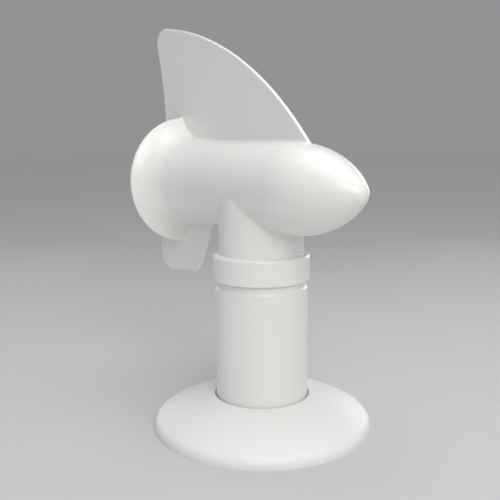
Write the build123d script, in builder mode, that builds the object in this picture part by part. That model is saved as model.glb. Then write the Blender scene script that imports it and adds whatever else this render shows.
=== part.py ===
"""Wind-vane vent cap: a hollow bullet head with a bell mouth and a tail plate turns on a riser tube."""

import os
from math import cos, radians, sin, sqrt

from build123d import *

# All lengths are millimetres. The origin is on the riser's axis at the roof, +Z is up and +X is the nose.

# Vent pipe that the riser slips over
pipe_radius = 30.15
pipe_clearance = 0.35
pipe_stop_height = 94.0
pipe_stop_width = 1.6

# Riser tube and the spigot on its top
riser_wall = 2.5
riser_top = 103.3
riser_edge_radius = 3.0
spigot_setback = 1.4
spigot_height = 17.7

# Roof flange: a ribbed dome with a socket that the riser stands in
flange_radius = 78.5
flange_edge_height = 6.0
flange_edge_round = 7.5
flange_hole_height = 23.3
flange_hole_gap = 1.1
flange_hole_round = 0.8
flange_mouth_depth = 3.0
flange_crown = 2.0
flange_wall = 2.8
flange_rim_width = 5.0
flange_socket_clearance = 0.2
flange_socket_wall = 2.6
flange_ledge = 3.0
rib_count = 8
rib_thickness = 2.0

# Bearing between spigot and head: a thrust washer, and a split ring in a groove of the spigot
washer_thickness = 1.5
washer_edge_gap = 0.3
skirt_clearance = 0.3
ring_height = 9.5
ring_thickness = 1.6
ring_width = 2.2
ring_grip = 1.1
ring_seat_gap = 0.2
ring_clearance = 0.3
ring_opening = 9.0

# Collar and neck of the head
collar_gap = 4.1
collar_height = 18.6
collar_wall = 2.6
collar_top_round = 2.4
collar_foot_round = 1.0
collar_lead_in = 0.7
collar_step = 4.4
neck_wall = 2.5
neck_length = 16.0
neck_blend = 4.0

# Bullet body and bell
head_wall = 2.6
body_swell = 0.7
nose_start = 36.0
nose_arc_radius = 81.5
nose_tip_radius = 9.0
bell_length = 97.2
bell_rim_radius = 49.0
bell_rim_angle = 66.0
throat_angle = 8.0
throat_arc_radius = 260.0

# Tail plate in the vertical plane through the nose: a tall fin above, a keel below, one hollow rear edge
tail_thickness = 3.0
tail_edge_round = 1.2
tail_root_blend = 2.0
tail_rear_radius = 288.0
fin_root_x = 57.3
fin_root_depth = 10.4
fin_arc_radius = 261.7
fin_tip_x = -134.1
fin_tip_rise = 121.2
fin_tip_round = 11.0
keel_rear_x = -139.3
keel_rear_drop = 78.2
keel_rear_round = 16.0
keel_front_x = -75.9
keel_front_drop = 71.6
keel_front_round = 13.0
keel_root_x = -56.5
keel_root_depth = 0.6
keel_root_round = 9.0

# Sizes that follow from the fits
socket_radius = pipe_radius + pipe_clearance
riser_radius = socket_radius + riser_wall
riser_edge_drop = sqrt(2 * riser_edge_radius * spigot_setback - spigot_setback**2)
spigot_radius = riser_radius - spigot_setback
spigot_bore = socket_radius - pipe_stop_width
spigot_top = riser_top + spigot_height
shoulder_height = spigot_top + washer_thickness
skirt_radius = spigot_radius + skirt_clearance
collar_foot = riser_top + collar_gap
collar_top = collar_foot + collar_height
collar_radius = skirt_radius + collar_wall
neck_radius = collar_radius - collar_step
neck_bore = neck_radius - neck_wall
body_radius = neck_radius + body_swell
ring_bottom = riser_top + ring_height
ring_top = ring_bottom + ring_thickness
ring_inner = spigot_radius - ring_grip
ring_outer = ring_inner + ring_width
flange_hole = riser_radius + flange_hole_gap
flange_socket = riser_radius + flange_socket_clearance
flange_boss = flange_socket + flange_socket_wall
flange_slope = (flange_hole_height - flange_edge_height) / (flange_radius - flange_hole)
body_bottom = collar_top + neck_length
head_axis_height = body_bottom + body_radius

head_plane = Plane(origin=(0, 0, head_axis_height), x_dir=(1, 0, 0), z_dir=(0, -1, 0))
head_axis = Axis((0, 0, head_axis_height), (1, 0, 0))


def bell_normal(angle):
    """Outward unit normal of a bell wall that rises backwards at this angle."""
    return Vector(sin(radians(angle)), cos(radians(angle)))


# Bell outline, from the head's axis: a gentle throat arc, then a flare arc that ends at the round rim
rim_round = head_wall / 2
rim_centre = Vector(rim_round - bell_length, bell_rim_radius - rim_round)
rim_front = rim_centre + bell_normal(bell_rim_angle) * rim_round
rim_inside = rim_centre - bell_normal(bell_rim_angle) * rim_round
rim_back = rim_centre + bell_normal(bell_rim_angle - 90) * rim_round
throat_rise = throat_arc_radius * (1 - cos(radians(throat_angle)))
flare_fall = cos(radians(throat_angle)) - cos(radians(bell_rim_angle))
flare_radius = (rim_front.Y - body_radius - throat_rise) / flare_fall
flare_centre = rim_front + bell_normal(bell_rim_angle) * flare_radius
throat_end = flare_centre - bell_normal(throat_angle) * flare_radius
throat_centre = throat_end + bell_normal(throat_angle) * throat_arc_radius

# Nose outline: an ogive arc tangent to the body, closed by a round tip
nose_centre = Vector(nose_start, body_radius - nose_arc_radius)
tip_reach = nose_arc_radius - nose_tip_radius
tip_centre = Vector(nose_start + sqrt(tip_reach**2 - nose_centre.Y**2), 0)
tip_direction = (tip_centre - nose_centre).normalized()


def bullet_outline(inset):
    """Draw the head's half outline from rim to nose tip, moved inwards by inset, and return its ends."""

    def bell_point(centre, radius, angle):
        return centre - bell_normal(angle) * (radius + inset)

    def nose_point(centre, radius, direction):
        return centre + direction.normalized() * (radius - inset)

    straight = Vector(0, 1)
    forward = Vector(1, 0)
    rim_end = bell_point(flare_centre, flare_radius, bell_rim_angle)
    flare_middle = bell_point(flare_centre, flare_radius, (bell_rim_angle + throat_angle) / 2)
    flare_end = bell_point(flare_centre, flare_radius, throat_angle)
    throat_middle = bell_point(throat_centre, throat_arc_radius, throat_angle / 2)
    body_rear = bell_point(throat_centre, throat_arc_radius, 0)
    body_front = nose_point(nose_centre, nose_arc_radius, straight)
    nose_middle = nose_point(nose_centre, nose_arc_radius, straight + tip_direction)
    nose_end = nose_point(nose_centre, nose_arc_radius, tip_direction)
    tip_middle = nose_point(tip_centre, nose_tip_radius, tip_direction + forward)
    tip_end = nose_point(tip_centre, nose_tip_radius, forward)
    ThreePointArc(rim_end, flare_middle, flare_end)
    ThreePointArc(flare_end, throat_middle, body_rear)
    Line(body_rear, body_front)
    ThreePointArc(body_front, nose_middle, nose_end)
    ThreePointArc(nose_end, tip_middle, tip_end)
    return rim_end, tip_end


def round_corners(sketch, corners):
    """Round the sketch's corner nearest to each given point by the radius given with it."""
    for point, radius in corners:
        fillet(sketch.vertices().sort_by_distance(Vector(*point))[0], radius)


# Pockets between the ribs under the flange's dome
pocket_outer = flange_radius - flange_rim_width
pocket_edge = (pocket_outer, flange_edge_height + flange_slope * flange_rim_width - flange_wall)
pocket_top = (flange_boss, flange_hole_height - flange_slope * (flange_boss - flange_hole) - flange_wall)
with BuildPart() as flange_pockets:
    with BuildSketch(Plane.XZ):
        with BuildLine():
            Polyline(pocket_top, (flange_boss, 0), (pocket_outer, 0), pocket_edge)
            SagittaArc(pocket_edge, pocket_top, -flange_crown)
        make_face()
    revolve(axis=Axis.Z)
    with BuildSketch():
        with PolarLocations(0, rib_count):
            Rectangle(flange_radius, rib_thickness, align=(Align.MIN, Align.CENTER))
    extrude(amount=flange_hole_height, mode=Mode.SUBTRACT)

# Roof flange
flange_edge = (flange_radius, flange_edge_height)
flange_mouth = (flange_hole, flange_hole_height)
with BuildPart() as roof_flange:
    with BuildSketch(Plane.XZ) as flange_section:
        with BuildLine():
            SagittaArc(flange_edge, flange_mouth, -flange_crown)
            Polyline(
                flange_mouth,
                (flange_hole, flange_hole_height - flange_mouth_depth),
                (flange_socket, flange_hole_height - flange_mouth_depth),
                (flange_socket, flange_ledge),
                (socket_radius, flange_ledge),
                (socket_radius, 0),
                (flange_radius, 0),
                flange_edge,
            )
        make_face()
        round_corners(flange_section, [(flange_edge, flange_edge_round), (flange_mouth, flange_hole_round)])
    revolve(axis=Axis.Z)
    add(flange_pockets.part, mode=Mode.SUBTRACT)
roof_flange.part.label = "roof_flange"

# Riser tube: pipe socket with its stop, and the spigot with the groove of the retaining ring
edge_start = (riser_radius, riser_top - riser_edge_drop)
edge_end = (spigot_radius, riser_top)
with BuildPart() as riser_tube:
    with BuildSketch(Plane.XZ):
        with BuildLine():
            RadiusArc(edge_start, edge_end, -riser_edge_radius)
            Polyline(
                edge_end,
                (spigot_radius, ring_bottom),
                (ring_inner - ring_seat_gap, ring_bottom),
                (ring_inner - ring_seat_gap, ring_top + ring_seat_gap),
                (spigot_radius, ring_top + ring_seat_gap),
                (spigot_radius, spigot_top),
                (spigot_bore, spigot_top),
                (spigot_bore, pipe_stop_height),
                (socket_radius, pipe_stop_height),
                (socket_radius, flange_ledge),
                (riser_radius, flange_ledge),
                edge_start,
            )
        make_face()
    revolve(axis=Axis.Z)
riser_tube.part.label = "riser_tube"

# Thrust washer on the spigot's top
with BuildPart() as thrust_washer:
    with BuildSketch(Plane.XY.offset(spigot_top)):
        Circle(spigot_radius - washer_edge_gap)
        Circle(spigot_bore + washer_edge_gap, mode=Mode.SUBTRACT)
    extrude(amount=washer_thickness)
thrust_washer.part.label = "thrust_washer"

# Split retaining ring in the spigot's groove, open towards the tail
with BuildPart() as retaining_ring:
    with BuildSketch(Plane.XY.offset(ring_bottom)):
        Circle(ring_outer)
        Circle(ring_inner, mode=Mode.SUBTRACT)
        Rectangle(ring_outer, ring_opening, align=(Align.MAX, Align.CENTER), mode=Mode.SUBTRACT)
    extrude(amount=ring_thickness)
retaining_ring.part.label = "retaining_ring"

# Hollow of the head: the bullet's inside up to the bell's mouth, then the neck's bore and the skirt
with BuildPart() as head_hollow:
    with BuildSketch(head_plane):
        with BuildLine():
            core_rim, core_tip = bullet_outline(head_wall)
            Polyline(core_tip, (core_rim.X, 0), core_rim)
        make_face()
    revolve(axis=head_axis)
    with BuildSketch(Plane.XZ):
        with BuildLine():
            Polyline(
                (0, collar_foot),
                (skirt_radius + collar_lead_in, collar_foot),
                (skirt_radius, collar_foot + collar_lead_in),
                (skirt_radius, ring_bottom - ring_clearance),
                (ring_outer + ring_clearance, ring_bottom - ring_clearance),
                (ring_outer + ring_clearance, ring_top + ring_clearance),
                (skirt_radius, ring_top + ring_clearance),
                (skirt_radius, shoulder_height),
                (neck_bore, shoulder_height),
                (neck_bore, head_axis_height),
                (0, head_axis_height),
                close=True,
            )
        make_face()
    revolve(axis=Axis.Z)

# Head: tail plate, bullet body with the bell, neck and collar in one moulding
fin_root = (fin_root_x, head_axis_height + body_radius - fin_root_depth)
fin_tip = (fin_tip_x, head_axis_height + fin_tip_rise)
keel_rear = (keel_rear_x, head_axis_height - keel_rear_drop)
keel_front = (keel_front_x, head_axis_height - keel_front_drop)
keel_root = (keel_root_x, body_bottom + keel_root_depth)
keel_inner = (-neck_bore, body_bottom + keel_root_depth)
with BuildPart() as wind_head:
    with BuildSketch(Plane.XZ) as tail_outline:
        with BuildLine():
            RadiusArc(fin_root, fin_tip, -fin_arc_radius)
            RadiusArc(fin_tip, keel_rear, tail_rear_radius)
            Polyline(keel_rear, keel_front, keel_root, keel_inner, (0, head_axis_height), fin_root)
        make_face()
        tail_corners = [
            (fin_tip, fin_tip_round),
            (keel_rear, keel_rear_round),
            (keel_front, keel_front_round),
            (keel_root, keel_root_round),
        ]
        round_corners(tail_outline, tail_corners)
    extrude(amount=tail_thickness / 2, both=True)
    plate_faces = wind_head.faces().sort_by(Axis.Y)
    fillet(plate_faces[0].edges() + plate_faces[-1].edges(), tail_edge_round)
    with BuildSketch(head_plane):
        with BuildLine():
            body_rim, body_tip = bullet_outline(0)
            ThreePointArc(body_rim, rim_back, rim_inside)
            Polyline(rim_inside, (rim_inside.X, 0), body_tip)
        make_face()
    revolve(axis=head_axis)
    plate_roots = wind_head.edges(Select.NEW)
    mouth_lines = plate_roots.filter_by(Axis.Z)
    fillet(plate_roots - mouth_lines, tail_root_blend)
    with BuildSketch(Plane.XZ) as collar_section:
        with BuildLine():
            Polyline(
                (0, collar_foot),
                (collar_radius, collar_foot),
                (collar_radius, collar_top),
                (neck_radius, collar_top),
                (neck_radius, head_axis_height),
                (0, head_axis_height),
                close=True,
            )
        make_face()
        collar_corners = [
            ((collar_radius, collar_foot), collar_foot_round),
            ((collar_radius, collar_top), collar_top_round),
        ]
        round_corners(collar_section, collar_corners)
    revolve(axis=Axis.Z)
    fillet(wind_head.edges(Select.NEW), neck_blend)
    add(head_hollow.part, mode=Mode.SUBTRACT)
wind_head.part.label = "wind_head"

os.makedirs("parts", exist_ok=True)
for piece in (roof_flange, riser_tube, thrust_washer, retaining_ring, wind_head):
    export_step(piece.part, f"parts/{piece.part.label}.step")
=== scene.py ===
"""White moulded vent cap on a pale studio floor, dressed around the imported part."""

import math

import bpy
from mathutils import Matrix, Vector


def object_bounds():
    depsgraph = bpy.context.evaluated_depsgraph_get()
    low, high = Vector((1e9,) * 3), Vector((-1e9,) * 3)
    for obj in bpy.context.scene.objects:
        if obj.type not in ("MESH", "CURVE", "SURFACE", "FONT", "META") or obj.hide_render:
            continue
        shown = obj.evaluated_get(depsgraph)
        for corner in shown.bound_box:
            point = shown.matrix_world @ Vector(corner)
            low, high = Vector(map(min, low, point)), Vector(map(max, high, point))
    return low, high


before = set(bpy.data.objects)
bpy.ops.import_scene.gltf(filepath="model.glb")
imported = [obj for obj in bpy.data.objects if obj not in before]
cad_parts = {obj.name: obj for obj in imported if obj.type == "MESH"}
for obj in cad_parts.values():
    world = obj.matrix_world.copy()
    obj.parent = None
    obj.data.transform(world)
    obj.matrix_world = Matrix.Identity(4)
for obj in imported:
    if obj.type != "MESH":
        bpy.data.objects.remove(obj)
cad_low, cad_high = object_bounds()
scene = bpy.context.scene
scene.view_settings.view_transform = "Standard"

# Plastic colours, linear
HEAD_WHITE = (0.80, 0.80, 0.785)
RISER_WHITE = (0.79, 0.79, 0.775)
FLANGE_WHITE = (0.79, 0.79, 0.78)
NATURAL_NYLON = (0.70, 0.68, 0.60)
NATURAL_ACETAL = (0.72, 0.71, 0.67)
DUST_COLOUR = (0.62, 0.60, 0.56)

# Finish of each moulding
FINISHES = {
    # node: (material, colour, roughness, coat, grain height in metres, dust)
    "wind_head": ("head_plastic", HEAD_WHITE, 0.34, 0.35, 0.00012, 0.05),
    "riser_tube": ("riser_plastic", RISER_WHITE, 0.36, 0.30, 0.00012, 0.05),
    "roof_flange": ("flange_plastic", FLANGE_WHITE, 0.48, 0.08, 0.00015, 0.10),
    "thrust_washer": ("washer_plastic", NATURAL_NYLON, 0.48, 0.0, 0.0001, 0.0),
    "retaining_ring": ("ring_plastic", NATURAL_ACETAL, 0.45, 0.0, 0.0001, 0.0),
}

# What all the mouldings share
PLASTIC_IOR = 1.49
COAT_ROUGHNESS = 0.22
SUBSURFACE_WEIGHT = 0.06
SUBSURFACE_RADIUS = (0.004, 0.0036, 0.003)
SHADE_SHARES = (0.972, 1.02)
GLOSS_SPREAD = 0.06
GRAIN_STRENGTH = 0.25
SHARP_ANGLE = 28.0

# Noise over a surface, as clouds per metre and layers of detail
SHADE_CLOUDS = (9.0, 3.0)
DUST_CLOUDS = (160.0, 6.0)
GLOSS_CLOUDS = (38.0, 5.0)
GRAIN_CLOUDS = (900.0, 2.0)
FLOOR_CLOUDS = (3.0, 2.0)

# Camera, metres, degrees and lens millimetres
CAMERA_PLACE = (0.3731, -0.3114, 0.2083)
CAMERA_HEADING = 51.09
CAMERA_TILT = 80.59
CAMERA_ROLL = -0.42
CAMERA_LENS = 50.0
CAMERA_SENSOR = 36.0
CLIP_NEAR = 0.01
CLIP_FAR = 100.0

# Floor and sky, metres and linear colours
FLOOR_HALF = 6.0
FLOOR_COLOUR = (0.57, 0.57, 0.565)
FLOOR_SHARES = (0.985, 1.0)
FLOOR_ROUGHNESS = 0.7
SKY_COLOUR = (0.95, 0.97, 1.0)
SKY_STRENGTH = 0.30

# Lamps, metres and degrees
AIM = Vector((0.0, 0.0, 0.15))
CARD_PLACE = Vector((-0.14, -0.22, 0.01))
ABOVE_CARD = CARD_PLACE + Vector((0.0, 0.0, 1.0))
GLOWS = {
    # name: (place it comes from, watts per square metre, angle it spreads over)
    "top_glow": ((0.10, 0.05, 2.00), 0.55, 80.0),
    "left_fill": ((-0.30, -1.10, 0.38), 0.12, 60.0),
    "right_fill": ((0.70, 0.30, 0.28), 0.27, 60.0),
}
LIGHTS = {
    # name: (place, aim, side, watts, spread, colour)
    "overhead": ((0.08, 0.04, 0.95), AIM, 0.6, 2.6, 180.0, (1.0, 0.99, 0.97)),
    "nose_key": ((1.00, -0.50, 0.80), AIM, 0.8, 8.5, 180.0, (1.0, 0.99, 0.96)),
    "left_rim": ((-1.02, 0.06, 0.30), AIM, 0.5, 0.12, 50.0, (0.97, 0.98, 1.0)),
    "right_rim": ((-0.25, 1.02, 0.30), AIM, 0.5, 0.20, 50.0, (1.0, 0.98, 0.95)),
    "left_card": (CARD_PLACE, ABOVE_CARD, 0.25, 0.08, 180.0, (1.0, 1.0, 1.0)),
}


def opaque(colour, share=1.0):
    """A share of the colour, with full alpha."""
    return (*[value * share for value in colour], 1.0)


def value_map(tree, source, low, high):
    """Take a value, held between 0 and 1, to the range from low to high."""
    node = tree.nodes.new("ShaderNodeMapRange")
    node.inputs["To Min"].default_value = low
    node.inputs["To Max"].default_value = high
    tree.links.new(source, node.inputs["Value"])
    return node.outputs["Result"]


def noise(tree, place, clouds):
    """Clouds of values over the surface."""
    scale, detail = clouds
    node = tree.nodes.new("ShaderNodeTexNoise")
    node.inputs["Scale"].default_value = scale
    node.inputs["Detail"].default_value = detail
    tree.links.new(place, node.inputs["Vector"])
    return node.outputs["Fac"]


def drifting_colour(tree, place, colour, clouds, shares):
    """A colour that drifts in clouds between two shares of itself."""
    low_share, high_share = shares
    shade = tree.nodes.new("ShaderNodeMix")
    shade.data_type = "RGBA"
    shade.inputs["A"].default_value = opaque(colour, low_share)
    shade.inputs["B"].default_value = opaque(colour, high_share)
    tree.links.new(noise(tree, place, clouds), shade.inputs["Factor"])
    return shade.outputs["Result"]


def dusted(tree, place, colour, dust):
    """The colour under specks of dust, on what faces up."""
    normal = tree.nodes.new("ShaderNodeNewGeometry").outputs["Normal"]
    facing = tree.nodes.new("ShaderNodeSeparateXYZ")
    tree.links.new(normal, facing.inputs["Vector"])
    upward = value_map(tree, facing.outputs["Z"], 0.0, 1.0)
    specks = value_map(tree, noise(tree, place, DUST_CLOUDS), -dust, dust)
    settled = tree.nodes.new("ShaderNodeMath")
    settled.operation = "MULTIPLY"
    settled.use_clamp = True
    tree.links.new(upward, settled.inputs[0])
    tree.links.new(specks, settled.inputs[1])
    cover = tree.nodes.new("ShaderNodeMix")
    cover.data_type = "RGBA"
    cover.inputs["B"].default_value = opaque(DUST_COLOUR)
    tree.links.new(settled.outputs["Value"], cover.inputs["Factor"])
    tree.links.new(colour, cover.inputs["A"])
    return cover.outputs["Result"]


def new_surface(name):
    """A material with its node tree, its shader and the place on the surface."""
    material = bpy.data.materials.new(name)
    material.use_nodes = True
    tree = material.node_tree
    place = tree.nodes.new("ShaderNodeTexCoord").outputs["Object"]
    return material, tree, tree.nodes["Principled BSDF"], place


def moulded_plastic(name, colour, roughness, coat, grain_height, dust):
    """Plastic with a faint drift of shade, uneven gloss, fine mould grain and a trace of dust."""
    material, tree, shader, place = new_surface(name)
    shader.inputs["IOR"].default_value = PLASTIC_IOR
    shader.inputs["Coat Weight"].default_value = coat
    shader.inputs["Coat Roughness"].default_value = COAT_ROUGHNESS
    shader.inputs["Subsurface Weight"].default_value = SUBSURFACE_WEIGHT
    shader.inputs["Subsurface Radius"].default_value = SUBSURFACE_RADIUS

    shade = drifting_colour(tree, place, colour, SHADE_CLOUDS, SHADE_SHARES)
    tree.links.new(dusted(tree, place, shade, dust), shader.inputs["Base Color"])

    handling = noise(tree, place, GLOSS_CLOUDS)
    uneven = value_map(tree, handling, roughness - GLOSS_SPREAD, roughness + GLOSS_SPREAD)
    tree.links.new(uneven, shader.inputs["Roughness"])

    grain = tree.nodes.new("ShaderNodeBump")
    grain.inputs["Strength"].default_value = GRAIN_STRENGTH
    grain.inputs["Distance"].default_value = grain_height
    tree.links.new(noise(tree, place, GRAIN_CLOUDS), grain.inputs["Height"])
    tree.links.new(grain.outputs["Normal"], shader.inputs["Normal"])
    return material


def dress(node, material):
    """Give a carried-over node its material and shade it round, with its sharp edges kept crisp."""
    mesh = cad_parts[node].data
    mesh.materials.clear()
    mesh.materials.append(material)
    mesh.shade_smooth()
    mesh.set_sharp_from_angle(angle=math.radians(SHARP_ANGLE))


def floor_paint():
    """Calm pale paint with a very faint drift of shade."""
    material, tree, shader, place = new_surface("floor_paint")
    shader.inputs["Roughness"].default_value = FLOOR_ROUGHNESS
    shade = drifting_colour(tree, place, FLOOR_COLOUR, FLOOR_CLOUDS, FLOOR_SHARES)
    tree.links.new(shade, shader.inputs["Base Color"])
    return material


def floor():
    """A wide pale floor at the height of the flange's foot."""
    mesh = bpy.data.meshes.new("floor")
    signs = ((-1, -1), (1, -1), (1, 1), (-1, 1))
    corners = [(x * FLOOR_HALF, y * FLOOR_HALF, cad_low.z) for x, y in signs]
    mesh.from_pydata(corners, [], [(0, 1, 2, 3)])
    mesh.materials.append(floor_paint())
    piece = bpy.data.objects.new("floor", mesh)
    scene.collection.objects.link(piece)


def aim_lamp(name, lamp, place, aim):
    """Hang a lamp at its place, turned towards its aim and unseen by the camera."""
    piece = bpy.data.objects.new(name, lamp)
    piece.location = place
    piece.rotation_euler = (aim - Vector(place)).to_track_quat("-Z", "Y").to_euler()
    piece.visible_camera = False
    scene.collection.objects.link(piece)


def studio():
    """Soft even sky, wide glows, square lights aimed at the part and a card that faces up."""
    world = bpy.data.worlds.new("studio")
    world.use_nodes = True
    sky = world.node_tree.nodes["Background"]
    sky.inputs["Color"].default_value = opaque(SKY_COLOUR)
    sky.inputs["Strength"].default_value = SKY_STRENGTH
    scene.world = world
    for name, (place, strength, spread) in GLOWS.items():
        glow = bpy.data.lights.new(name, "SUN")
        glow.energy = strength
        glow.angle = math.radians(spread)
        aim_lamp(name, glow, place, AIM)
    for name, (place, aim, side, watts, spread, colour) in LIGHTS.items():
        lamp = bpy.data.lights.new(name, "AREA")
        lamp.shape = "SQUARE"
        lamp.size = side
        lamp.energy = watts
        lamp.spread = math.radians(spread)
        lamp.color = colour
        aim_lamp(name, lamp, place, aim)


def camera():
    """The photograph's viewpoint."""
    lens = bpy.data.cameras.new("camera")
    lens.lens = CAMERA_LENS
    lens.sensor_width = CAMERA_SENSOR
    lens.clip_start = CLIP_NEAR
    lens.clip_end = CLIP_FAR
    piece = bpy.data.objects.new("camera", lens)
    turn = Matrix.Rotation(math.radians(CAMERA_HEADING), 4, "Z")
    tilt = Matrix.Rotation(math.radians(CAMERA_TILT), 4, "X")
    roll = Matrix.Rotation(math.radians(CAMERA_ROLL), 4, "Z")
    piece.matrix_world = Matrix.Translation(CAMERA_PLACE) @ turn @ tilt @ roll
    scene.collection.objects.link(piece)
    scene.camera = piece


for node, finish in FINISHES.items():
    dress(node, moulded_plastic(*finish))
floor()
studio()
camera()
